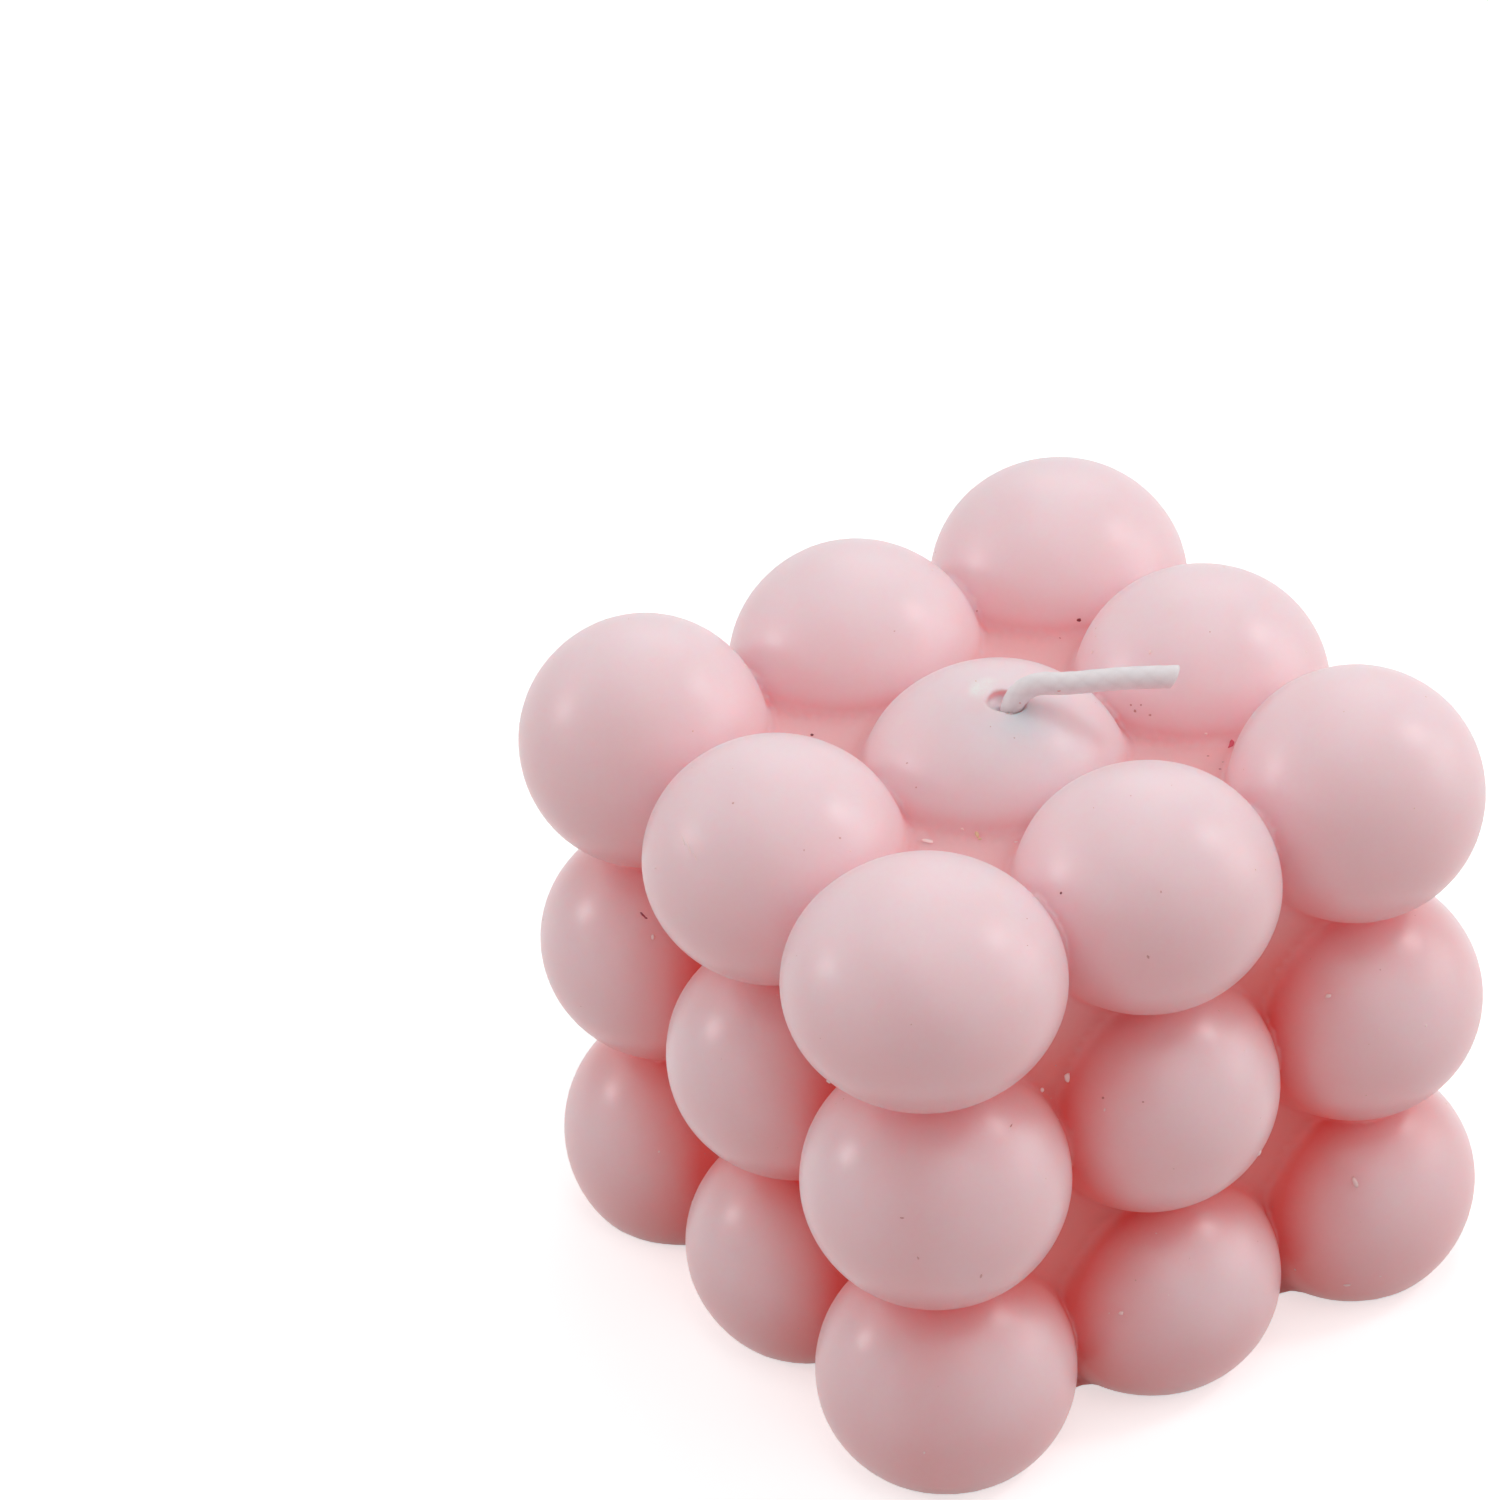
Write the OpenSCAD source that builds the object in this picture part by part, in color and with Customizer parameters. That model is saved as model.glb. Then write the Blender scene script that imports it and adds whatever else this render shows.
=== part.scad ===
// A cube-shaped candle cast as one block of wax: round bubbles on every face of an inner cube,
// with a braided wick through its middle and a thin metal tab that holds the wick's foot.
// Millimetres. +Z is up, the origin is at the middle of the flat base, and -Y faces the viewer.

/* [Bubbles] */
// Diameter of one bubble
bubble_d = 20.2; // [18:0.1:24]
// Spacing of the bubbles from side to side and from front to back
bubble_pitch = 19.9; // [17:0.1:23]
// Spacing of the bubbles upwards
bubble_rise = 18.7; // [16:0.1:23]
// Bubbles along each side of the cube
bubbles_across = 3; // [3:2:5]
// Layers of bubbles
layers = 3; // [2:1:5]
// How much lower the middle bubble of the top sits than the ones round it
crown_sink = 1.3; // [0:0.1:3]

/* [Inner cube] */
// How far the flat faces between the bubbles stand out past the centres of the outer bubbles
web_proud = 1.4; // [0.5:0.1:4]
// Height of the lowest bubbles' centres above the flat base
base_cut = 7.1; // [5:0.1:8.8]

/* [Wick hole] */
// Diameter of the hole that the wick stands in
hole_d = 3.2; // [2.8:0.1:5]
// Place of the hole to the right of the candle's middle
hole_x = -0.8; // [-3:0.1:3]
// Place of the hole behind the candle's middle
hole_y = -2.6; // [-3:0.1:3]

/* [Wick] */
// Thickness of the waxed wick
wick_d = 1.8; // [1:0.1:2.4]
// Gap left between the wick and the wall of the hole, on the side it leans to
wick_gap = 0.1; // [0.05:0.05:0.3]
// Direction in which the wick leans against its hole, turned from +X
wick_lean = -60; // [-180:5:180]
// Radius of the wick's bend, to its middle line
bend_r = 1.7; // [1.4:0.1:4]
// How far below the hole's mouth the bend starts
bend_sink = 0.2; // [0:0.05:0.5]
// Straight length of the laid-over end, past the bend
wick_run = 11.5; // [4:0.5:20]
// Direction in which the laid-over end points, turned from +X
wick_heading = -30; // [-180:5:180]

/* [Wick tab] */
// Diameter of the metal tab
tab_d = 12.5; // [8:0.5:20]
// Thickness of the metal
tab_t = 0.3; // [0.2:0.05:0.6]
// Height of the tab's neck above its disc
neck_h = 3.2; // [1.5:0.1:6]
// Room between the wick and the crimped neck
crimp_gap = 0.02; // [0.01:0.01:0.1]
// Room between the tab and the wax, at its rim and round its neck
tab_gap = 0.25; // [0.1:0.05:0.6]
// How far the tab's underside lies inside the flat base
tab_inset = 0.2; // [0.1:0.05:1]

/* [Hidden] */
$fn = 96;

// A cutting tool runs past the face that it cuts by this much
past = 1;

bubble_r = bubble_d / 2;
// From the candle's middle to the centres of the outer bubbles
half_span = bubble_pitch * (bubbles_across - 1) / 2;
// From the candle's middle to the flat faces between the bubbles
core_half = half_span + web_proud;
// Height of the top layer's centres, and of the flat top between its bubbles
top_z = base_cut + bubble_rise * (layers - 1);
core_h = top_z + web_proud;
// The bubble in the middle of a layer
middle = (bubbles_across - 1) / 2;
crown_z = top_z - crown_sink;

// The hole's mouth, where its middle line comes out of the middle bubble
mouth_z = crown_z + sqrt(pow(bubble_r, 2) - pow(hole_x, 2) - pow(hole_y, 2));
// The wick leans to one side of its hole
wick_off = (hole_d - wick_d) / 2 - wick_gap;
wick_x = hole_x + wick_off * cos(wick_lean);
wick_y = hole_y + wick_off * sin(wick_lean);
// Where the bend starts, and the middle line of the laid-over end
bend_z = mouth_z - bend_sink;
run_z = bend_z + bend_r;

// The neck is a thin tube round the wick's foot
neck_in_d = wick_d + 2 * crimp_gap;
neck_d = neck_in_d + 2 * tab_t;
seat_z = tab_inset + tab_t;
neck_top_z = seat_z + neck_h;

// The middle bubble of the top layer has sunk
function is_crown(i, j, k) = k == layers - 1 && i == middle && j == middle;
function bubble_z(i, j, k) = is_crown(i, j, k) ? crown_z : base_cut + k * bubble_rise;

module bubbles() {
    for (i = [0:bubbles_across - 1], j = [0:bubbles_across - 1], k = [0:layers - 1])
        if (min(i, j, k) == 0 || max(i, j) == bubbles_across - 1 || k == layers - 1)
            translate([i * bubble_pitch - half_span, j * bubble_pitch - half_span, bubble_z(i, j, k)])
                sphere(d = bubble_d);
}

// The inner cube reaches down to the flat base
module core() {
    translate([-core_half, -core_half, 0])
        cube([2 * core_half, 2 * core_half, core_h]);
}

// Everything below the flat base
module below_base() {
    side = 2 * (half_span + bubble_d);
    translate([-side / 2, -side / 2, -bubble_d])
        cube([side, side, bubble_d]);
}

// The hole through the whole candle
module wick_hole() {
    translate([hole_x, hole_y, -past])
        cylinder(d = hole_d, h = mouth_z + hole_d + past);
}

// The seat in the base for the tab's disc, and the wider foot of the hole for its neck
module tab_seat() {
    translate([wick_x, wick_y, -past]) {
        cylinder(d = tab_d + 2 * tab_gap, h = seat_z + past);
        cylinder(d = neck_d + 2 * tab_gap, h = neck_top_z + tab_gap + past);
    }
}

module wax_body() {
    color([0.93, 0.72, 0.73])
        difference() {
            union() {
                bubbles();
                core();
            }
            below_base();
            wick_hole();
            tab_seat();
        }
}

// The wick stands in its hole, bends over the middle bubble and ends in a square cut
module wick() {
    color([0.86, 0.83, 0.81])
        translate([wick_x, wick_y, 0])
            rotate([0, 0, wick_heading]) {
                translate([0, 0, tab_inset])
                    cylinder(d = wick_d, h = bend_z - tab_inset);
                translate([bend_r, 0, bend_z])
                    rotate([90, 0, 0])
                        rotate_extrude(angle = 90, start = 90)
                            translate([bend_r, 0])
                                circle(d = wick_d);
                translate([bend_r, 0, run_z])
                    rotate([0, 90, 0])
                        cylinder(d = wick_d, h = wick_run);
            }
}

// A pressed disc with a short neck, which is crimped round the wick's foot
module wick_tab() {
    color([0.72, 0.73, 0.74])
        translate([wick_x, wick_y, tab_inset])
            difference() {
                union() {
                    cylinder(d = tab_d, h = tab_t);
                    cylinder(d = neck_d, h = tab_t + neck_h);
                }
                translate([0, 0, -past])
                    cylinder(d = neck_in_d, h = tab_t + neck_h + 2 * past);
            }
}

wax_body();
wick();
wick_tab();
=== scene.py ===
import math
import random

import bmesh
import bpy
import numpy as np
from mathutils import Matrix, Vector, noise
from mathutils.bvhtree import BVHTree


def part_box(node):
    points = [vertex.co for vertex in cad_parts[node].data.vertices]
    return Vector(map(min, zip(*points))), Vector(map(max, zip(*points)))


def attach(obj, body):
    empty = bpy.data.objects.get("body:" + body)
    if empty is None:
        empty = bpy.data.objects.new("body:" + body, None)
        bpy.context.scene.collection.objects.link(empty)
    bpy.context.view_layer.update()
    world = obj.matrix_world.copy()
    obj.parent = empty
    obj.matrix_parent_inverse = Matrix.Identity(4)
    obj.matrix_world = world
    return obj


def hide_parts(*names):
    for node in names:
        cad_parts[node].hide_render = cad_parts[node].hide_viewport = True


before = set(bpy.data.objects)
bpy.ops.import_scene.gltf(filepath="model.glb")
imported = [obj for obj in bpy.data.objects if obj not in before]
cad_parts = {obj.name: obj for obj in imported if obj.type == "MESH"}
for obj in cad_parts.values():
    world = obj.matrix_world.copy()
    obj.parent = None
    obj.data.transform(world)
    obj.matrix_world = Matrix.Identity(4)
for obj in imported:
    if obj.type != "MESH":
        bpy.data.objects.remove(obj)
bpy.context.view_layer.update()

MM = 0.001

# The candle's driving sizes
BUBBLE_D = 20.2 * MM
BUBBLES_ACROSS = 3
LAYERS = 3
BASE_CUT = 7.1 * MM
WEB_PROUD = 1.4 * MM
LEAN = math.radians(-60)
WICK_D = 1.8 * MM
TAB_T = 0.3 * MM
TAB_GAP = 0.25 * MM
TAB_NECK_D = 2.44 * MM
TAB_NECK_TOP = 3.95 * MM

# What follows from them and from the frame
wax_low, wax_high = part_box("wax_body")
wick_low, wick_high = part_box("wick")
tab_low, tab_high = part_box("wick_tab")
half_span = wax_high.x - BUBBLE_D / 2
pitch = 2 * half_span / (BUBBLES_ACROSS - 1)
top_z = wax_high.z - BUBBLE_D / 2
rise = (top_z - BASE_CUT) / (LAYERS - 1)
core_half = half_span + WEB_PROUD
core_top = top_z + WEB_PROUD
wick_x = wick_low.x + WICK_D / 2
wick_y = wick_high.y - WICK_D / 2
tab_r = (tab_high.x - tab_low.x) / 2
tab_seat = tab_low.z + TAB_T

# The hole for the wick, and how far the wick stands off its middle
HOLE_D = 3.2 * MM
HOLE_OFF = 0.6 * MM
hole_x = wick_x - HOLE_OFF * math.cos(LEAN)
hole_y = wick_y - HOLE_OFF * math.sin(LEAN)
# The wax has closed round the wick's upper part, under a shallow dip that shows beside the wick
SNUG_LONG = 14 * MM
SNUG_GAP = 0.06 * MM
MOUTH_R = 1.15 * MM
MOUTH_DEEP = 0.7 * MM
MOUTH_OFF = 0.7 * MM
MOUTH_Z = 52.8 * MM
mouth_x = wick_x - MOUTH_OFF * math.cos(LEAN)
mouth_y = wick_y - MOUTH_OFF * math.sin(LEAN)

# A cast bubble is a little wider than it is high
CAST_WIDE = 20.6 * MM
CAST_HIGH = 19.7 * MM
# Bubbles that came out of the mould otherwise: shift, width and height in millimetres
ODD_BUBBLES = {
    (0, 0, 2): ((-0.4, 0.1, -0.2), 21.8, 18.7),
    (0, 1, 2): ((-0.6, 0.4, 0.0), 20.7, 19.0),
    (0, 2, 2): ((-0.1, 0.3, 0.3), 20.1, 20.4),
    (1, 0, 2): ((0.2, -0.1, 0.0), 20.7, 19.0),
    (1, 1, 2): ((-0.35, -0.35, -0.7), 21.5, 18.9),
    (2, 0, 2): ((0.35, 0.0, 0.4), 20.2, 20.2),
    (2, 2, 2): ((0.0, 0.0, 0.1), 21.2, 20.0),
    (0, 0, 1): ((-0.2, 0.0, -0.1), 21.0, 19.8),
    (0, 2, 1): ((0.3, -0.2, 0.0), 20.3, 19.8),
    (0, 1, 0): ((0.3, -0.2, 0.0), 20.2, 19.6),
    (0, 2, 0): ((0.5, -0.5, -0.3), 19.6, 20.8),
    (1, 0, 0): ((-0.1, 0.1, 0.0), 20.7, 18.8),
    (2, 0, 0): ((-0.1, 0.35, 0.3), 20.2, 20.0),
}
# Radius of the soft crease where two faces of the wax meet, and of its few outer edges
CREASE_R = 0.7 * MM
EDGE_R = 0.35 * MM
# The mouth's edge is soft where the hole is open, and nearly sharp where the wick presses on it
LIP_R = 0.3 * MM
LIP_SHARP = 0.7
# The cosines between which the edge turns from soft to sharp, round the wick from its lean's far side
LIP_TURN = (-0.6, 0.5)
# Slow unevenness of the cast skin: its height, and its ripples' turns per metre and phase in radians
WAVE = 0.05 * MM
RIPPLES = ((410, 130, 250, 0.3), (-190, 520, 160, 1.7), (230, -310, 480, 4.1), (640, 380, -290, 2.6))

# Size of the squares that the wax is meshed with
WAX_STEP = 0.68 * MM
# What a divisor is never less than
TINY = 1e-9


def rows(points):
    """Length of each row of an array of points."""
    return np.sqrt(np.einsum("ij,ij->i", points, points))


def bubble_distance(points, centre, wide, high):
    """Distance from a ball that is as wide and as high as given."""
    radii = np.array((wide, wide, high)) / 2
    scaled = (points - centre) / radii
    once = rows(scaled)
    twice = rows(scaled / radii)
    return once * (once - 1) / np.maximum(twice, TINY)


def block_distance(points, low, high):
    """Distance from a block between two corners."""
    middle = (np.array(low) + high) / 2
    out = np.abs(points - middle) - (np.array(high) - low) / 2
    return rows(np.maximum(out, 0)) + np.minimum(out.max(axis=1), 0)


def rod_distance(points, middle, radius, top):
    """Distance from an upright rod that ends at a height and starts below everything."""
    out = np.stack((rows(points[:, :2] - np.array(middle)) - radius, points[:, 2] - top), axis=1)
    return rows(np.maximum(out, 0)) + np.minimum(out.max(axis=1), 0)


def cut(solid, tool, radius):
    """A solid less a tool, with the new edge rounded."""
    a = np.maximum(solid + radius, 0)
    b = np.maximum(radius - tool, 0)
    return np.minimum(-radius, np.maximum(solid, -tool)) + np.hypot(a, b)


def bubbles():
    """Centre, width and height of each bubble that shows."""
    last = BUBBLES_ACROSS - 1
    for i in range(BUBBLES_ACROSS):
        for j in range(BUBBLES_ACROSS):
            for k in range(LAYERS):
                if 0 < i < last and 0 < j < last and k < LAYERS - 1:
                    continue
                shift, wide, high = ODD_BUBBLES.get((i, j, k), ((0, 0, 0), CAST_WIDE / MM, CAST_HIGH / MM))
                centre = np.array((i * pitch - half_span, j * pitch - half_span, BASE_CUT + k * rise))
                yield centre + np.array(shift) * MM, wide * MM, high * MM


def skin_wave(points):
    """Slow waves in the cast skin, from a few crossing ripples."""
    total = np.zeros(len(points))
    for kx, ky, kz, phase in RIPPLES:
        total += np.sin(points @ np.array((kx, ky, kz)) + phase)
    return total * WAVE / len(RIPPLES)


def smooth_step(low, high, value):
    """From 0 at low to 1 at high, softly."""
    share = np.clip((value - low) / (high - low), 0, 1)
    return share * share * (3 - 2 * share)


def lip_radius(points):
    """How round the edge of the hole's mouth is, by the side on which a point lies."""
    away = points[:, :2] - np.array((wick_x, wick_y))
    along = away @ np.array((math.cos(LEAN), math.sin(LEAN)))
    return LIP_R * (1 - LIP_SHARP * smooth_step(*LIP_TURN, along / np.maximum(rows(away), TINY)))


def wax_distance(points):
    """Distance from the wax, below 0 inside it."""
    nearest = block_distance(points, (-core_half, -core_half, -BUBBLE_D), (core_half, core_half, core_top))
    filled = np.maximum(CREASE_R - nearest, 0) ** 2
    for centre, wide, high in bubbles():
        one = bubble_distance(points, centre, wide, high)
        nearest = np.minimum(nearest, one)
        filled += np.maximum(CREASE_R - one, 0) ** 2
    wax = np.maximum(nearest, CREASE_R) - np.sqrt(filled) + skin_wave(points)
    wax = cut(wax, points[:, 2], EDGE_R)
    at_wick = (wick_x, wick_y)
    wax = cut(wax, rod_distance(points, (hole_x, hole_y), HOLE_D / 2, MOUTH_Z - SNUG_LONG), EDGE_R / 2)
    wax = cut(wax, rod_distance(points, at_wick, WICK_D / 2 + SNUG_GAP, 2 * wax_high.z), SNUG_GAP)
    dip = bubble_distance(points, np.array((mouth_x, mouth_y, MOUTH_Z)), 2 * MOUTH_R, 2 * MOUTH_DEEP)
    wax = cut(wax, dip, lip_radius(points))
    wax = cut(wax, rod_distance(points, at_wick, tab_r + TAB_GAP, tab_seat), EDGE_R / 2)
    return cut(wax, rod_distance(points, at_wick, TAB_NECK_D / 2 + TAB_GAP, TAB_NECK_TOP), EDGE_R / 2)


def slope(points, reach=0.02 * MM):
    """Direction out of the wax at each point, and how fast the distance grows."""
    total = np.zeros_like(points)
    for way in np.array(((1, -1, -1), (-1, -1, 1), (-1, 1, -1), (1, 1, 1))):
        total += way * wax_distance(points + way * reach)[:, None]
    total /= 4 * reach
    steep = np.maximum(rows(total), TINY)
    return total / steep[:, None], steep


def settle(points, rounds):
    """Moves points onto the wax's surface."""
    for _ in range(rounds):
        out, steep = slope(points)
        points = points - out * np.clip(wax_distance(points) / steep, -WAX_STEP, WAX_STEP)[:, None]
    return points


def crossings(value, full):
    """The sum and the number of the places where the edges of each cube of the grid cross the surface."""
    cells = tuple(n - 1 for n in value.shape)
    total = np.zeros(cells + (3,))
    count = np.zeros(cells)
    corner = np.stack(np.meshgrid(*[np.arange(n) for n in cells], indexing="ij"), axis=-1)
    for axis in range(3):
        others = [a for a in range(3) if a != axis]
        for u in (0, 1):
            for v in (0, 1):
                start = [0, 0, 0]
                start[others[0]], start[others[1]] = u, v
                end = list(start)
                end[axis] = 1
                first = tuple(slice(s, s + n) for s, n in zip(start, cells))
                second = tuple(slice(s, s + n) for s, n in zip(end, cells))
                crossed = full[first] != full[second]
                share = value[first][crossed] / (value[first][crossed] - value[second][crossed])
                place = corner[crossed] + np.array(start, float)
                place[:, axis] += share
                total[crossed] += place
                count[crossed] += 1
    return total, count


def faces_across(full, number, axis):
    """Four-sided faces across the grid's edges along one axis, from the numbers of the cubes' points."""
    b, c = (axis + 1) % 3, (axis + 2) % 3
    inner = [slice(1, -1)] * 3
    inner[axis] = slice(0, -1)
    ahead = list(inner)
    ahead[axis] = slice(1, None)
    here, there = full[tuple(inner)], full[tuple(ahead)]
    edge = np.argwhere(here != there)
    leaving = here[here != there]
    edge[:, b] += 1
    edge[:, c] += 1
    ring = []
    for db, dc in ((-1, -1), (0, -1), (0, 0), (-1, 0)):
        cell = edge.copy()
        cell[:, b] += db
        cell[:, c] += dc
        ring.append(number[tuple(cell.T)])
    quads = np.stack(ring, axis=1)
    quads[~leaving] = quads[~leaving][:, ::-1]
    return quads


def surface_net(low, high, step):
    """Points and four-sided faces of the wax's surface, from a grid of cubes."""
    margin = 2 * step
    axes = [np.arange(a - margin, b + margin, step) for a, b in zip(low, high)]
    grid = np.stack(np.meshgrid(*axes, indexing="ij"), axis=-1).reshape(-1, 3)
    value = wax_distance(grid).reshape([len(a) for a in axes])
    full = value < 0
    total, count = crossings(value, full)
    used = count > 0
    number = np.full(count.shape, -1)
    number[used] = np.arange(used.sum())
    lowest = np.array([a[0] for a in axes])
    points = lowest + total[used] / count[used][:, None] * step
    return points, np.concatenate([faces_across(full, number, axis) for axis in range(3)])


def relax(points, faces, rounds):
    """Evens out the faces, with every point kept on the surface."""
    ends = np.concatenate([faces[:, (k, (k + 1) % 4)] for k in range(4)])
    degree = np.bincount(ends[:, 0], minlength=len(points)) + np.bincount(ends[:, 1], minlength=len(points))
    for _ in range(rounds):
        total = np.zeros_like(points)
        for axis in range(3):
            total[:, axis] = np.bincount(ends[:, 0], points[ends[:, 1], axis], len(points))
            total[:, axis] += np.bincount(ends[:, 1], points[ends[:, 0], axis], len(points))
        points = settle((points + total / degree[:, None]) / 2, rounds=1)
    return points


# Painted shade: depth between the bubbles at which the wax is painted fully coral, and how slowly it starts
SHADE_FULL_DEPTH = 7.9 * MM
SHADE_POWER = 1.8
# How much painted coral shade a place has before it also turns duller
DULL_SHARE = 0.45
# Painted light on the top: the painted shade on the flanks fades out between these heights, and the top's
# webs get this much of it
PALE_FROM = 0.48 * wax_high.z
PALE_AT = 0.87 * wax_high.z
TOP_WEB_SHADE = 0.53
TOP_WEB_DEPTH = (6.6 * MM, 8.0 * MM)
# A web on top gets less painted shade where it rises into a bubble, and so faces up by less than the second
# of these
WEB_PALER = 0.6
WEB_RISES = (0.5, 1)
# Painted shade: the foot is painted a little redder up to this height, and so is whatever doesn't face up
FOOT_SHADE = 0.20
FOOT_HIGH = 14 * MM
SIDE_SHADE = 0.23
# The base stands on the table, so its depth counts faster
BASE_DEPTH = 12
# How evenly two depths pass into each other at a corner, and the least depth that counts
EVEN = 3
LEAST_DEPTH = 0.01 * MM
# The white frost beside the hole's mouth: its middle from the hole's, its direction and half sizes
FROST_AT = (-0.5 * MM, 2.1 * MM)
FROST_TURN = math.radians(30)
FROST_LONG = 1.5 * MM
FROST_WIDE = 1.0 * MM
# It fades out between these shares of its size, and where the wax doesn't face up by these
FROST_FADES = (0.4, 1.3)
FROST_FACES = (0.3, 0.8)
# None lies in the hole, deeper than this
FROST_DEEPEST = 3 * MM
# Nearer the mouth than the first of these, light goes least deep into the wax; past the second, as ever
MOUTH_REACH = (1.3 * MM, 3.6 * MM)
# Painted shade: how coral the wax is painted in the dip, how much more so round it, and what the dip faces up
# by at most
HOLE_SHADE = 0.08
MOUTH_SHADE = 0.06
HOLE_FACES = 0.93


def crevice(points):
    """How deep between the bubbles each point is, and the same from 0 on their outsides to 1."""
    inside = wax_high.x - np.abs(points)
    inside[:, 2] = np.minimum(wax_high.z - points[:, 2], BASE_DEPTH * points[:, 2])
    depth = (np.maximum(inside, LEAST_DEPTH) ** -EVEN).sum(axis=1) ** (-1 / EVEN)
    return depth, np.clip(depth / SHADE_FULL_DEPTH, 0, 1) ** SHADE_POWER


def painted_shade(points, out):
    """How much painted shade the wax gets: coral from 0 on the outsides of the bubbles to 1 deep between
    them, less on the top as painted light, more on the foot and wherever the wax doesn't face up.
    """
    depth, flank = crevice(points)
    flank *= 1 - smooth_step(PALE_FROM, PALE_AT, points[:, 2])
    web = TOP_WEB_SHADE * smooth_step(*TOP_WEB_DEPTH, depth)
    web *= 1 - WEB_PALER * (1 - smooth_step(*WEB_RISES, out[:, 2]))
    foot = FOOT_SHADE * (1 - smooth_step(0, FOOT_HIGH, points[:, 2]))
    return np.maximum(flank, web) + foot + SIDE_SHADE * (1 - out[:, 2])


def from_mouth(points):
    """How far each point is from the middle of the hole's mouth, and from the hole's middle line."""
    aside = np.hypot(points[:, 0] - mouth_x, points[:, 1] - mouth_y)
    return np.hypot(aside, points[:, 2] - MOUTH_Z), aside


def frost(points, out):
    """From 0 to 1 where pushing the wick in has left the wax white, on one side of the hole's mouth."""
    away = points[:, :2] - np.array((mouth_x, mouth_y)) - np.array(FROST_AT)
    along = away @ np.array((math.cos(FROST_TURN), math.sin(FROST_TURN)))
    across = away @ np.array((-math.sin(FROST_TURN), math.cos(FROST_TURN)))
    near = 1 - smooth_step(*FROST_FADES, np.hypot(along / FROST_LONG, across / FROST_WIDE))
    return near * smooth_step(*FROST_FACES, out[:, 2]) * (points[:, 2] > MOUTH_Z - FROST_DEEPEST)


def set_smooth(mesh):
    """Shades every face of a mesh smoothly."""
    mesh.polygons.foreach_set("use_smooth", [True] * len(mesh.polygons))


def put_in_scene(name, data):
    """An object in the row's frame, from its mesh, camera or lamp."""
    made = bpy.data.objects.new(name, data)
    bpy.context.scene.collection.objects.link(made)
    return made


def piece_from(name, points, faces, material):
    """A mesh object of the candle, smooth, in the row's frame."""
    mesh = bpy.data.meshes.new(name)
    mesh.from_pydata([tuple(p) for p in points], [], [tuple(f) for f in faces])
    set_smooth(mesh)
    mesh.materials.append(material)
    return put_in_scene(name, mesh)


def hold(mesh, name, values):
    """Stores one number a point, for the mesh's material."""
    mesh.attributes.new(name, "FLOAT", "POINT").data.foreach_set("value", np.asarray(values, np.float32))


def coordinates(mesh):
    """The mesh's points as an array."""
    flat = np.zeros(len(mesh.vertices) * 3, np.float32)
    mesh.vertices.foreach_get("co", flat)
    return flat.reshape(-1, 3).astype(float)


# How far round the hole's mouth the wax is meshed finer, and the cuts across each edge there
FINE_ROUND_HOLE = 4 * MM
FINE_CUTS = 2


def finer_at_mouth(made):
    """Splits the faces round the hole's mouth and lays the new points onto the wax."""
    mouth = Vector((mouth_x, mouth_y, MOUTH_Z))
    shape = bmesh.new()
    shape.from_mesh(made.data)
    near = [f for f in shape.faces if (f.calc_center_median() - mouth).length < FINE_ROUND_HOLE]
    edges = list({e for f in near for e in f.edges})
    bmesh.ops.subdivide_edges(shape, edges=edges, cuts=FINE_CUTS, use_grid_fill=True)
    shape.to_mesh(made.data)
    shape.free()
    points = settle(coordinates(made.data), rounds=2)
    made.data.vertices.foreach_set("co", points.astype(np.float32).ravel())
    made.data.update()


def candle_wax(material):
    """The cast block of bubbles."""
    points, faces = surface_net(wax_low, wax_high, WAX_STEP)
    points = relax(settle(points, rounds=3), faces, rounds=2)
    made = piece_from("candle_wax", settle(points, rounds=2), faces, material)
    finer_at_mouth(made)
    set_smooth(made.data)
    points = coordinates(made.data)
    out, _ = slope(points)
    away, aside = from_mouth(points)
    in_hole = (aside < MOUTH_R) & (out[:, 2] < HOLE_FACES) & (points[:, 2] < MOUTH_Z - LIP_R / 2)
    near = 1 - smooth_step(*MOUTH_REACH, away)
    hold(made.data, "crevice", smooth_step(DULL_SHARE, 1, crevice(points)[1]))
    # Painted shade and painted light for the wax's colour: little in the hole, a little more round its mouth
    hold(made.data, "painted_shade", np.where(in_hole, HOLE_SHADE, painted_shade(points, out) + MOUTH_SHADE * near))
    hold(made.data, "frost", frost(points, out))
    hold(made.data, "near_mouth", near)
    made.data.normals_split_custom_set_from_vertices([tuple(n) for n in out])
    return made


# Shader helpers

def add(tree, kind, inputs=None, **settings):
    """One node, with its settings and with each input set or linked."""
    made = tree.nodes.new(kind)
    for name, value in settings.items():
        setattr(made, name, value)
    for name, value in (inputs or {}).items():
        if isinstance(value, bpy.types.NodeSocket):
            tree.links.new(value, made.inputs[name])
        else:
            made.inputs[name].default_value = value
    return made


def blend(tree, share, first, second):
    """A colour between two others."""
    return add(tree, "ShaderNodeMix", {0: share, 6: first, 7: second}, data_type="RGBA").outputs[2]


def ramp(tree, share, *colours):
    """A colour that runs evenly through the given ones."""
    made = add(tree, "ShaderNodeValToRGB", {"Fac": share})
    stops = made.color_ramp.elements
    for k in range(1, len(colours) - 1):
        stops.new(k / (len(colours) - 1))
    for stop, colour in zip(stops, colours):
        stop.color = colour
    return made.outputs["Color"]


def sums(tree, kind, first, second):
    """A plain sum on two numbers."""
    return add(tree, "ShaderNodeMath", {0: first, 1: second}, operation=kind).outputs[0]


def held(tree, name):
    """The number that each point of the mesh holds under a name."""
    return add(tree, "ShaderNodeAttribute", attribute_name=name).outputs["Fac"]


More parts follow.
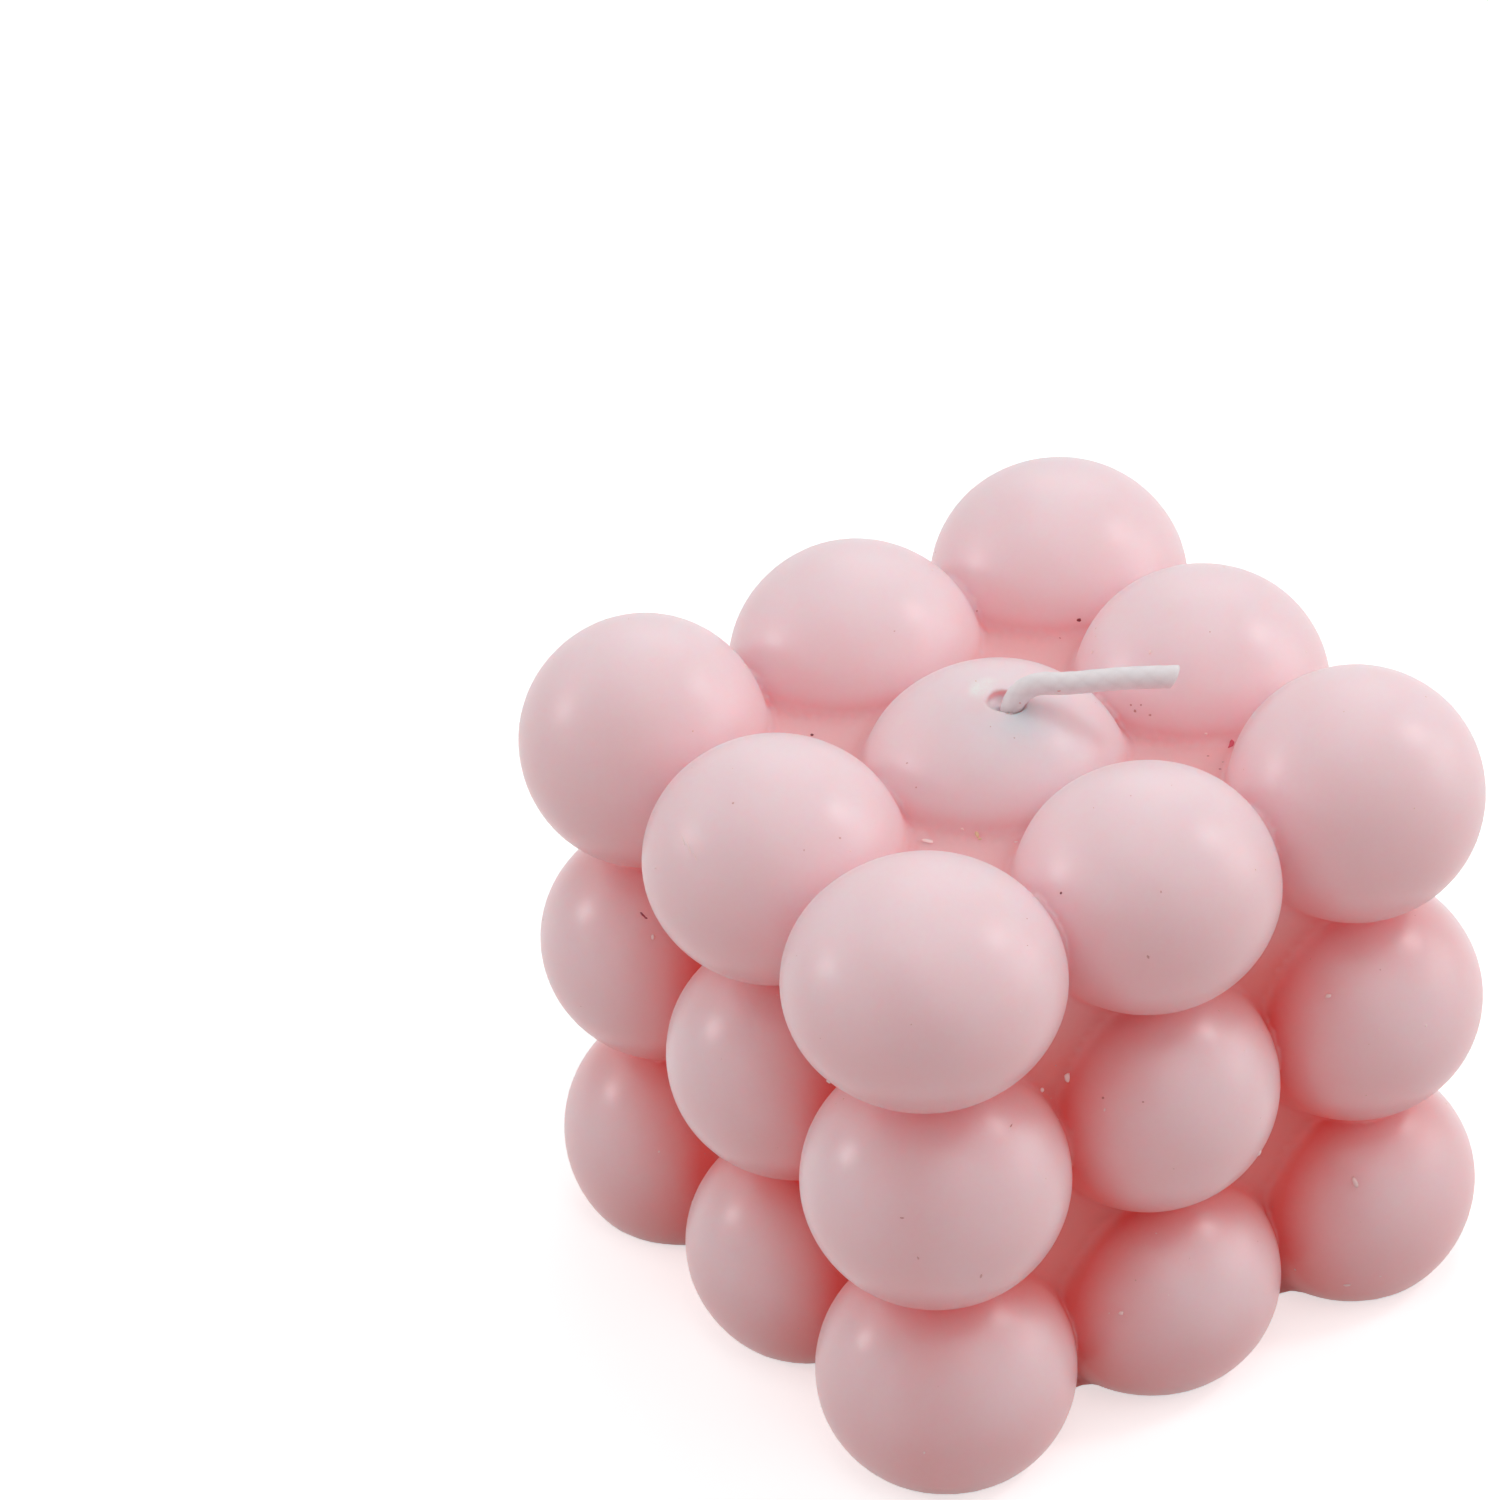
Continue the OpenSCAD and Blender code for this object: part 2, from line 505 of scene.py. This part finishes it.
def spread(tree, value, low, high, start=0.0, end=1.0, **settings):
    """A mask's values from start to end, laid from low to high."""
    return add(tree, "ShaderNodeMapRange", {
        "Value": value,
        "From Min": start,
        "From Max": end,
        "To Min": low,
        "To Max": high,
    }, **settings).outputs["Result"]


def bumps(tree, height, strength, distance):
    """The direction of a surface that a mask makes uneven."""
    made = add(tree, "ShaderNodeBump", {"Height": height, "Strength": strength, "Distance": distance})
    return made.outputs["Normal"]


def new_material(name):
    """An empty material, its tree and its output."""
    made = bpy.data.materials.new(name)
    made.use_nodes = True
    made.node_tree.nodes.clear()
    return made, made.node_tree, made.node_tree.nodes.new("ShaderNodeOutputMaterial")


def mottle_group():
    """Cloudy patches with a finer grain in them, as a mask from 0 to 1."""
    group = bpy.data.node_groups.new("Mottle", "ShaderNodeTree")
    for name, value in (("Patch Size", 6 * MM), ("Grain Size", 0.6 * MM), ("Grain Share", 0.3)):
        socket = group.interface.new_socket(name, in_out="INPUT", socket_type="NodeSocketFloat")
        socket.default_value = value
    group.interface.new_socket("Mask", in_out="OUTPUT", socket_type="NodeSocketFloat")
    start = group.nodes.new("NodeGroupInput")
    end = group.nodes.new("NodeGroupOutput")
    place = group.nodes.new("ShaderNodeTexCoord").outputs["Object"]
    coarse = add(group, "ShaderNodeTexNoise", {
        "Vector": place,
        "Scale": sums(group, "DIVIDE", 1.0, start.outputs["Patch Size"]),
        "Detail": 2.0,
    })
    fine = add(group, "ShaderNodeTexNoise", {
        "Vector": place,
        "Scale": sums(group, "DIVIDE", 1.0, start.outputs["Grain Size"]),
        "Detail": 1.0,
    })
    mixed = add(group, "ShaderNodeMix", {
        0: start.outputs["Grain Share"],
        2: coarse.outputs["Fac"],
        3: fine.outputs["Fac"],
    })
    group.links.new(mixed.outputs[0], end.inputs["Mask"])
    return group


def mottle(tree, group, patch, grain, share):
    """One use of the mottle group."""
    made = add(tree, "ShaderNodeGroup", node_tree=group)
    made.inputs["Patch Size"].default_value = patch
    made.inputs["Grain Size"].default_value = grain
    made.inputs["Grain Share"].default_value = share
    return made.outputs["Mask"]


# Colours, as light measures them
# The pale colour is painted light on the open tops, the coral one painted shade deep in the crevices, the
# pink between them
WAX_PALE = (0.935, 0.725, 0.765, 1)
WAX_PINK = (0.96, 0.50, 0.515, 1)
CREVICE_SHADE_CORAL = (0.96, 0.25, 0.235, 1)
WAX_FROST = (0.94, 0.88, 0.87, 1)
# Clouds in the wax and grain in its skin: the size of the patches, that of the grain in them, and its share
WAX_CLOUDS = (7 * MM, 0.5 * MM, 0.25)
WAX_GRAIN = (1.6 * MM, 0.16 * MM, 0.35)
# How far the clouds in the wax shift its colour along the way from pale to coral
CLOUD_SHIFT = 0.10
# Where the grain is between the first two, the frost covers as much of the wax as the other two say
FROST_GRAIN = (0.35, 0.6)
FROST_COVER = (0.35, 0.95)
# How rough the skin is where the clouds leave it glossiest and dullest, and where it is frosted
WAX_ROUGH = (0.285, 0.335)
FROST_ROUGH = 0.7
# The top layer is duller than the sides, from one height to another, and so are the crevices
DULL_FROM = 38 * MM
DULL_AT = 50 * MM
TOP_DULLER = 0.04
CREVICE_DULLER = 0.25
# How far green and blue light goes into the wax by red light's way, and that way, as a rule and at the mouth
LIGHT_REACH = (1.0, 0.3, 0.25)
LIGHT_DEEP = 9 * MM
MOUTH_LIGHT_DEEP = 1.5 * MM


def wax_material(group):
    """Pale pink candle wax: satin, lit from within, with coral painted shade in its crevices and painted
    light keeping its top pale.
    """
    made, tree, end = new_material("pink wax")
    clouds = mottle(tree, group, *WAX_CLOUDS)
    grain = mottle(tree, group, *WAX_GRAIN)
    # The painted shade and light run the colour from pale to coral, and the clouds shift it at random
    share = sums(tree, "ADD", held(tree, "painted_shade"), spread(tree, clouds, -CLOUD_SHIFT, CLOUD_SHIFT))
    white = sums(tree, "MULTIPLY", held(tree, "frost"), spread(tree, grain, *FROST_COVER, *FROST_GRAIN))
    colour = blend(tree, white, ramp(tree, share, WAX_PALE, WAX_PINK, CREVICE_SHADE_CORAL), WAX_FROST)
    place = add(tree, "ShaderNodeTexCoord").outputs["Object"]
    height = add(tree, "ShaderNodeSeparateXYZ", {"Vector": place}).outputs["Z"]
    on_top = spread(tree, height, 0, TOP_DULLER, DULL_FROM, DULL_AT, interpolation_type="SMOOTHSTEP")
    rough = sums(tree, "ADD", spread(tree, clouds, *WAX_ROUGH), on_top)
    rough = sums(tree, "ADD", rough, sums(tree, "MULTIPLY", held(tree, "crevice"), CREVICE_DULLER))
    surface = add(tree, "ShaderNodeBsdfPrincipled", {
        "Base Color": colour,
        "Roughness": add(tree, "ShaderNodeMix", {0: white, 2: rough, 3: FROST_ROUGH}).outputs[0],
        "IOR": 1.44,
        "Subsurface Weight": 1.0,
        "Subsurface Radius": LIGHT_REACH,
        "Subsurface Scale": spread(tree, held(tree, "near_mouth"), LIGHT_DEEP, MOUTH_LIGHT_DEEP),
        "Normal": bumps(tree, grain, 0.12, 0.05 * MM),
    })
    tree.links.new(surface.outputs["BSDF"], end.inputs["Surface"])
    return made


# The wick's course above its hole: millimetres along its heading, and above the table
WICK_HEADING = math.radians(-30)
WICK_COURSE = (
    (0.0, 51.0), (0.05, 52.1), (0.3, 53.0), (0.9, 53.78), (1.7, 54.28), (2.6, 54.42), (3.7, 54.32),
    (5.3, 54.28), (6.9, 54.33), (8.9, 54.36), (10.9, 54.3), (12.7, 54.2),
)
WICK_SIDES = 48
# Millimetres from ring to ring, down in the hole and on the bend, and parts of the curve between two stops
RUN_STEP = 1.5
BEND_STEP = 0.14
CURVE_PARTS = 40
BRAID_STRANDS = 4
BRAID_PITCH = 3.4 * MM
BRAID_RELIEF = 0.045 * MM
# How suddenly one strand dives under the other
BRAID_DIVE = 3
# The slanted cut end: how far back it changes, and half of how far its top reaches past its underside
CUT_BACK = 1.2 * MM
CUT_SLANT = 0.45 * MM


def smooth_course(stops, step):
    """Evenly spaced points on a smooth curve through the stops."""
    stops = np.array(stops, float)
    ends = np.vstack((2 * stops[0] - stops[1], stops, 2 * stops[-1] - stops[-2]))
    course = []
    for k in range(len(stops) - 1):
        a, b, c, d = ends[k:k + 4]
        t = np.linspace(0, 1, CURVE_PARTS, endpoint=False)[:, None]
        course.append(0.5 * (2 * b + (c - a) * t + (2 * a - 5 * b + 4 * c - d) * t**2
                             + (3 * b - a - 3 * c + d) * t**3))
    course = np.vstack(course + [stops[-1:]])
    run = np.concatenate(([0], np.cumsum(rows(np.diff(course, axis=0)))))
    even = np.linspace(0, run[-1], int(run[-1] / step) + 1)
    return np.stack([np.interp(even, run, course[:, a]) for a in range(course.shape[1])], axis=1)


def braid_height(turn, along):
    """Relief of a round braid, from 0 in its furrows to 1 on its strands."""
    around = BRAID_STRANDS * turn / 2
    upward = BRAID_STRANDS * math.pi * along / BRAID_PITCH / 2
    one = np.sin(around + upward)
    other = np.sin(around - upward)
    over = 0.5 + 0.5 * np.tanh(BRAID_DIVE * one * other)
    return over * np.sqrt(np.abs(one)) + (1 - over) * np.sqrt(np.abs(other))


def braided_wick(material):
    """The waxed cotton wick, from its tab to its cut end."""
    foot = [(0.0, z) for z in np.arange(wick_low.z / MM, WICK_COURSE[0][1], RUN_STEP)]
    bend = smooth_course(WICK_COURSE, BEND_STEP)
    course = np.vstack((foot, bend)) * MM
    way = np.gradient(course, axis=0)
    way /= rows(way)[:, None]
    run = np.concatenate(([0], np.cumsum(rows(np.diff(course, axis=0)))))
    turn = np.linspace(0, 2 * math.pi, WICK_SIDES, endpoint=False)
    heading = np.array((math.cos(WICK_HEADING), math.sin(WICK_HEADING), 0))
    side = np.array((-math.sin(WICK_HEADING), math.cos(WICK_HEADING), 0))
    up = np.array((0, 0, 1))
    points, furrow = [], []
    for (along, high), (dx, dz), length in zip(course, way, run):
        centre = np.array((wick_x, wick_y, 0)) + heading * along + up * high
        out = heading * dz - up * dx
        relief = braid_height(turn, length)
        end = smooth_step(run[-1] - CUT_BACK, run[-1], length)
        radius = WICK_D / 2 - BRAID_RELIEF * (1 - relief)
        ring = centre + radius[:, None] * (np.cos(turn)[:, None] * out + np.sin(turn)[:, None] * side)
        points.append(ring - np.cos(turn)[:, None] * heading * CUT_SLANT * end)
        furrow.append(relief)
    rings = len(points)
    points, furrow = np.vstack(points), np.concatenate(furrow)
    faces = []
    for ring in range(rings - 1):
        for k in range(WICK_SIDES):
            after = (k + 1) % WICK_SIDES
            low, high = ring * WICK_SIDES, (ring + 1) * WICK_SIDES
            faces.append((low + k, low + after, high + after, high + k))
    faces.append(tuple(range(WICK_SIDES))[::-1])
    faces.append(tuple((rings - 1) * WICK_SIDES + k for k in range(WICK_SIDES)))
    made = piece_from("braided_wick", points, faces, material)
    hold(made.data, "furrow", furrow)
    return made


COTTON = (0.83, 0.785, 0.80, 1)
COTTON_SHADE = (0.78, 0.73, 0.745, 1)
COTTON_CLOUDS = (0.9 * MM, 0.12 * MM, 0.4)
# The cotton is shaded up to the first of these values of relief and clouds together, and lit from the second
COTTON_LIT = (0.1, 0.5)


def cotton_material(group):
    """Braided cotton, stiff with wax."""
    made, tree, end = new_material("waxed cotton")
    clouds = mottle(tree, group, *COTTON_CLOUDS)
    lit = spread(tree, sums(tree, "MULTIPLY", held(tree, "furrow"), clouds), 0, 1, *COTTON_LIT)
    surface = add(tree, "ShaderNodeBsdfPrincipled", {
        "Base Color": blend(tree, lit, COTTON_SHADE, COTTON),
        "Roughness": 0.6,
        "Subsurface Weight": 0.9,
        "Subsurface Radius": (1.0, 0.9, 0.85),
        "Subsurface Scale": 1.3 * MM,
        "Normal": bumps(tree, clouds, 0.4, 0.06 * MM),
    })
    tree.links.new(surface.outputs["BSDF"], end.inputs["Surface"])
    return made


TIN = (0.66, 0.66, 0.65, 1)
TIN_DULL = (0.50, 0.50, 0.50, 1)
TIN_CLOUDS = (3 * MM, 0.2 * MM, 0.4)
TIN_ROUGH = (0.25, 0.5)


def tin_material(group):
    """Thin pressed tinned steel."""
    made, tree, end = new_material("tinned steel")
    clouds = mottle(tree, group, *TIN_CLOUDS)
    surface = add(tree, "ShaderNodeBsdfPrincipled", {
        "Base Color": blend(tree, clouds, TIN_DULL, TIN),
        "Metallic": 1.0,
        "Roughness": spread(tree, clouds, *TIN_ROUGH),
        "Normal": bumps(tree, clouds, 0.2, 0.02 * MM),
    })
    tree.links.new(surface.outputs["BSDF"], end.inputs["Surface"])
    return made


# The camera stands as it did for the photograph
PHOTO_W, PHOTO_H = 1488, 1500
FOCAL_PIXELS = 6939
CAMERA_TURN = math.radians(59.06)
CAMERA_DIP = math.radians(33.605)
CAMERA_ROLL = math.radians(3.475)
CAMERA_AIM = np.array((0, 0, 25.8)) * MM
AIM_RIGHT = 20.8 * MM
AIM_DOWN = 17.26 * MM
AIM_AHEAD = 556.2 * MM


def camera_axes():
    """Right, down and ahead, as the camera sees them."""
    ahead = np.array((
        math.cos(CAMERA_DIP) * math.cos(CAMERA_TURN),
        math.cos(CAMERA_DIP) * math.sin(CAMERA_TURN),
        -math.sin(CAMERA_DIP),
    ))
    right = np.cross(ahead, (0, 0, 1))
    right /= np.linalg.norm(right)
    down = np.cross(ahead, right)
    cos, sin = math.cos(CAMERA_ROLL), math.sin(CAMERA_ROLL)
    return cos * right + sin * down, cos * down - sin * right, ahead


def camera_place():
    """Where the camera stands."""
    right, down, ahead = camera_axes()
    return CAMERA_AIM - right * AIM_RIGHT - down * AIM_DOWN - ahead * AIM_AHEAD


def pixel_way(u, v):
    """Direction in which the camera sees a place in the photograph."""
    right, down, ahead = camera_axes()
    way = ahead * FOCAL_PIXELS + right * (u - PHOTO_W / 2) + down * (v - PHOTO_H / 2)
    return Vector(way).normalized()


# Crumbs of wax on the candle: place in the photograph, length, width and height in millimetres, turn
CRUMBS = (
    (928, 841, 1.05, 0.42, 0.16, 38), (1068, 1078, 0.85, 0.60, 0.10, 70), (1042, 1090, 0.42, 0.36, 0.22, 0),
    (829, 1081, 0.40, 0.34, 0.34, 45), (1355, 1182, 0.86, 0.40, 0.22, 65), (1328, 996, 0.48, 0.32, 0.20, -10),
    (1259, 1153, 0.52, 0.40, 0.30, 60), (1347, 1285, 0.62, 0.32, 0.18, -15),
    (1121, 1313, 0.42, 0.32, 0.18, 0), (653, 937, 0.45, 0.30, 0.14, 90), (1092, 652, 0.34, 0.28, 0.10, 0),
    (1150, 652, 0.38, 0.26, 0.10, 100), (962, 829, 0.30, 0.20, 0.12, 30), (1016, 842, 0.34, 0.18, 0.12, -20),
    (1206, 734, 0.26, 0.20, 0.12, 0), (1010, 1128, 0.50, 0.13, 0.05, -50), (683, 840, 0.90, 0.10, 0.03, 50),
    (689, 848, 1.10, 0.10, 0.03, 55), (695, 857, 0.80, 0.10, 0.03, 50),
)
# Colours of the specks of soot, dye and fluff on it, each a quarter of the way on from the one before
SPECK_COLOURS = (
    (0.80, 0.55, 0.32, 1), (0.74, 0.42, 0.41, 1), (0.64, 0.26, 0.24, 1), (0.68, 0.08, 0.13, 1),
    (0.10, 0.025, 0.03, 1),
)
# The specks: the same as the crumbs, and which colour, from 0 to 1
SPECKS = (
    (812, 735, 0.32, 0.32, 0.16, 0, 0.98), (1079, 620, 0.36, 0.32, 0.10, 0, 0.92),
    (1061, 893, 0.20, 0.20, 0.10, 0, 0.95), (1148, 957, 0.30, 0.20, 0.04, 70, 0.35),
    (902, 1218, 0.32, 0.13, 0.05, 0, 0.45), (918, 1258, 0.30, 0.14, 0.04, 80, 0.3),
    (981, 1276, 0.44, 0.22, 0.04, 80, 0.3), (1011, 1126, 0.46, 0.11, 0.05, -50, 0.45),
    (733, 803, 0.20, 0.16, 0.03, 0, 0.25), (840, 838, 0.20, 0.16, 0.03, 0, 0.25),
    (907, 763, 0.20, 0.14, 0.03, 0, 0.25), (1161, 892, 0.20, 0.12, 0.03, 90, 0.3),
    (1103, 1098, 0.20, 0.18, 0.04, 0, 0.5), (1143, 1102, 0.18, 0.16, 0.04, 0, 0.4),
    (1232, 743, 1.50, 0.40, 0.06, -62, 0.75), (1131, 705, 0.20, 0.18, 0.04, 0, 0.42),
    (1135, 711, 0.26, 0.24, 0.05, 0, 0.48), (1141, 705, 0.18, 0.16, 0.04, 0, 0.42),
    (1150, 715, 0.24, 0.18, 0.04, 0, 0.4), (643, 915, 0.66, 0.16, 0.10, 45, 0.9),
    (646, 918, 0.30, 0.12, 0.08, 20, 0.88), (977, 834, 0.80, 0.30, 0.10, 80, 0.02),
    (980, 839, 0.30, 0.22, 0.10, 20, 0.0), (1208, 756, 0.22, 0.18, 0.05, 0, 0.5),
    (1220, 769, 0.24, 0.20, 0.05, 0, 0.55), (1223, 762, 0.22, 0.16, 0.05, 0, 0.3),
    (1060, 638, 0.16, 0.14, 0.05, 0, 0.6), (977, 611, 0.16, 0.14, 0.05, 0, 0.5),
)
# The same on the wick's underside
WICK_SPECKS = ((1059, 691, 0.30, 0.12, 0.05, -10, 0.4), (1020, 703, 0.16, 0.12, 0.04, 40, 0.25))
# Finer ones all over: how many, how long in millimetres, how wide and high by their length, and which colour
FINE_CRUMBS = 90
FINE_SPECKS = 110
FINE_CRUMB_LONG = (0.10, 0.28)
FINE_SPECK_LONG = (0.08, 0.16)
FINE_WIDE = (0.4, 1)
FINE_HIGH = (0.2, 0.4)
FINE_TONE = (0.1, 0.4)
# None lies where the wax faces further down than this
FINE_FACES = -0.3
STREWN_SEED = 3
# A lump's unevenness: how fine, and how high by its half size
UNEVEN = ((1.3, 0.35), (3, 0.2))


def lump(shape, centre, out, way, sizes, dice):
    """Adds one small uneven lump that sits partly sunk in its ground."""
    long, wide, high = sizes
    side = out.cross(way)
    start = Vector([dice.uniform(0, 90) for _ in range(3)])
    made = bmesh.ops.create_icosphere(shape, subdivisions=2, radius=1)["verts"]
    for point in made:
        at = point.co * (1 + sum(share * noise.noise(point.co * fine + start) for fine, share in UNEVEN))
        point.co = centre + way * at.x * long / 2 + side * at.y * wide / 2 + out * at.z * high / 2
    return made


def lay_lumps(name, ground, near, count, span, material, dice):
    """One mesh of small lumps on a piece: those that the camera sees at given places, and finer ones."""
    tree = BVHTree.FromObject(ground, bpy.context.evaluated_depsgraph_get())
    right, down, _ = (Vector(a) for a in camera_axes())
    shape = bmesh.new()
    tone = []
    for u, v, long, wide, high, turn, *dark in near:
        centre, out, *_ = tree.ray_cast(Vector(camera_place()), pixel_way(u, v))
        if centre is None:
            raise ValueError("nothing at %d, %d" % (u, v))
        turn = math.radians(turn)
        way = right * math.cos(turn) + down * math.sin(turn)
        way = (way - out * way.dot(out)).normalized()
        made = lump(shape, centre, out, way, (long * MM, wide * MM, high * MM), dice)
        tone += [dark[0] if dark else 0] * len(made)
    faces = ground.data.polygons
    while count:
        face = faces[dice.randrange(len(faces))]
        if face.normal.z < FINE_FACES or from_mouth(np.array([face.center]))[1][0] < 2 * MOUTH_R:
            continue
        long = dice.uniform(*span) * MM
        way = face.normal.orthogonal().normalized()
        way.rotate(Matrix.Rotation(dice.uniform(0, math.tau), 3, face.normal))
        sizes = (long, long * dice.uniform(*FINE_WIDE), long * dice.uniform(*FINE_HIGH))
        made = lump(shape, face.center.copy(), face.normal.copy(), way, sizes, dice)
        tone += [dice.uniform(*FINE_TONE)] * len(made)
        count -= 1
    mesh = bpy.data.meshes.new(name)
    shape.to_mesh(mesh)
    shape.free()
    set_smooth(mesh)
    mesh.materials.append(material)
    hold(mesh, "tone", tone)
    return put_in_scene(name, mesh)


CRUMB_PINK = (0.98, 0.66, 0.65, 1)
CRUMB_PALE = (0.98, 0.80, 0.78, 1)
CRUMB_CLOUDS = (0.5 * MM, 0.1 * MM, 0.5)


def crumb_material(group):
    """Whitish loose crumbs of the same wax."""
    made, tree, end = new_material("wax crumb")
    clouds = mottle(tree, group, *CRUMB_CLOUDS)
    surface = add(tree, "ShaderNodeBsdfPrincipled", {
        "Base Color": blend(tree, clouds, CRUMB_PINK, CRUMB_PALE),
        "Roughness": 0.5,
        "Normal": bumps(tree, clouds, 0.5, 0.03 * MM),
    })
    tree.links.new(surface.outputs["BSDF"], end.inputs["Surface"])
    return made


SPECK_CLOUDS = (0.3 * MM, 0.08 * MM, 0.5)
# How far the clouds shift a speck's colour towards the next
SPECK_SHIFT = 0.1


def speck_material(group):
    """Yellowish, reddish and dark specks."""
    made, tree, end = new_material("fine dirt")
    clouds = mottle(tree, group, *SPECK_CLOUDS)
    share = sums(tree, "ADD", held(tree, "tone"), spread(tree, clouds, -SPECK_SHIFT, SPECK_SHIFT))
    surface = add(tree, "ShaderNodeBsdfPrincipled", {
        "Base Color": ramp(tree, share, *SPECK_COLOURS),
        "Roughness": 0.6,
        "Normal": bumps(tree, clouds, 0.5, 0.02 * MM),
    })
    tree.links.new(surface.outputs["BSDF"], end.inputs["Surface"])
    return made


def photo_camera():
    """The camera, with the photograph's frame and lens."""
    right, down, ahead = camera_axes()
    data = bpy.data.cameras.new("photo_camera")
    data.sensor_fit = "AUTO"
    data.sensor_width = 36
    data.lens = FOCAL_PIXELS / PHOTO_H * data.sensor_width
    data.clip_start = 0.01
    data.clip_end = 20
    made = put_in_scene("photo_camera", data)
    turn = Matrix((right, -down, -ahead)).transposed()
    made.matrix_world = Matrix.Translation(camera_place()) @ turn.to_4x4()
    bpy.context.scene.camera = made


# The table and its grey
FLOOR_R = 1.6
FLOOR_GREY = 0.72
# Added where the camera sees the floor, so that only the candle's shadow is below white
FLOOR_WHITE = 0.6
# The room's light on the candle: the camera itself sees a white room
ROOM_LIGHT = 0.31


def seen_only(tree):
    """1 for what the camera sees, also in a mirror or through glass."""
    path = add(tree, "ShaderNodeLightPath")
    seen = sums(tree, "MAXIMUM", path.outputs["Is Camera Ray"], path.outputs["Is Glossy Ray"])
    return sums(tree, "MAXIMUM", seen, path.outputs["Is Transmission Ray"])


def floor_material():
    """White board that keeps a faint shadow."""
    made, tree, end = new_material("white board")
    board = add(tree, "ShaderNodeBsdfDiffuse", {"Color": (FLOOR_GREY, FLOOR_GREY, FLOOR_GREY, 1)})
    seen = sums(tree, "MULTIPLY", seen_only(tree), FLOOR_WHITE)
    glow = add(tree, "ShaderNodeEmission", {"Color": (1, 1, 1, 1), "Strength": seen})
    both = add(tree, "ShaderNodeAddShader", {0: board.outputs[0], 1: glow.outputs[0]})
    tree.links.new(both.outputs[0], end.inputs["Surface"])
    return made


def white_floor():
    """A round white table top under the candle."""
    shape = bmesh.new()
    bmesh.ops.create_circle(shape, cap_ends=True, segments=96, radius=FLOOR_R)
    mesh = bpy.data.meshes.new("white_floor")
    shape.to_mesh(mesh)
    shape.free()
    mesh.materials.append(floor_material())
    made = put_in_scene("white_floor", mesh)


def room():
    """A white room that lights evenly from all sides."""
    world = bpy.data.worlds.new("room")
    world.use_nodes = True
    bpy.context.scene.world = world
    tree = world.node_tree
    tree.nodes.clear()
    strength = add(tree, "ShaderNodeMix", {0: seen_only(tree), 2: ROOM_LIGHT, 3: 1.0})
    light = add(tree, "ShaderNodeBackground", {"Color": (1, 1, 1, 1), "Strength": strength.outputs[0]})
    end = add(tree, "ShaderNodeOutputWorld")
    tree.links.new(light.outputs[0], end.inputs["Surface"])


# How far the lamps stand off, and each one's name, direction from the candle, width, height and power
LAMP_AWAY = 0.65
LAMPS = (
    ("lamp_above", (0, 0, 1), 0.5, 0.5, 0.76),
    ("box_right", (0.68, -0.245, 0.69), 0.12, 0.12, 0.62),
    ("box_left", (-0.72, 0.58, 0.385), 0.09, 0.11, 0.47),
    ("fill_low_right", (0.86, -0.42, 0.31), 0.42, 0.30, 0.73),
    ("fill_low_left", (-0.86, 0.42, 0.30), 0.36, 0.30, 0.11),
    ("fill_high_left", (-0.52, 0.64, 0.57), 0.36, 0.36, 0.24),
    ("fill_back", (0.46, 0.53, 0.71), 0.40, 0.40, 0.46),
    ("fill_front", (-0.01, -0.64, 0.77), 0.40, 0.40, 0.35),
    ("dot_left", (-0.95, -0.09, 0.31), 0.05, 0.05, 0.05),
    ("dot_front", (-0.20, -0.42, 0.885), 0.05, 0.05, 0.04),
    ("dot_low", (-0.08, -0.90, 0.43), 0.05, 0.05, 0.03),
)


def soft_lamp(name, way, width, height, power):
    """A soft square lamp that shines at the candle from one direction."""
    data = bpy.data.lights.new(name, "AREA")
    data.shape = "RECTANGLE"
    data.size = width
    data.size_y = height
    data.energy = power
    made = put_in_scene(name, data)
    way = Vector(way).normalized()
    made.location = Vector(CAMERA_AIM) + way * LAMP_AWAY
    made.rotation_mode = "QUATERNION"
    made.rotation_quaternion = way.to_track_quat("Z", "Y")


mottle_nodes = mottle_group()
photo_camera()
wax = candle_wax(wax_material(mottle_nodes))
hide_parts("wax_body")
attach(wax, "root")
wick = braided_wick(cotton_material(mottle_nodes))
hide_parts("wick")
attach(wick, "root")
dice = random.Random(STREWN_SEED)
crumb = crumb_material(mottle_nodes)
dirt = speck_material(mottle_nodes)
fluff = (
    (lay_lumps("wax_crumbs", wax, CRUMBS, FINE_CRUMBS, FINE_CRUMB_LONG, crumb, dice), "wax"),
    (lay_lumps("wax_specks", wax, SPECKS, FINE_SPECKS, FINE_SPECK_LONG, dirt, dice), "wax"),
    (lay_lumps("wick_specks", wick, WICK_SPECKS, 0, FINE_SPECK_LONG, dirt, dice), "wick_cotton"),
)
for piece, slot in fluff:
    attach(piece, "root")
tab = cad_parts["wick_tab"]
tab.data.materials.clear()
tab.data.materials.append(tin_material(mottle_nodes))

white_floor()
room()
for lamp in LAMPS:
    soft_lamp(*lamp)

scene = bpy.context.scene
scene.view_settings.view_transform = "Standard"
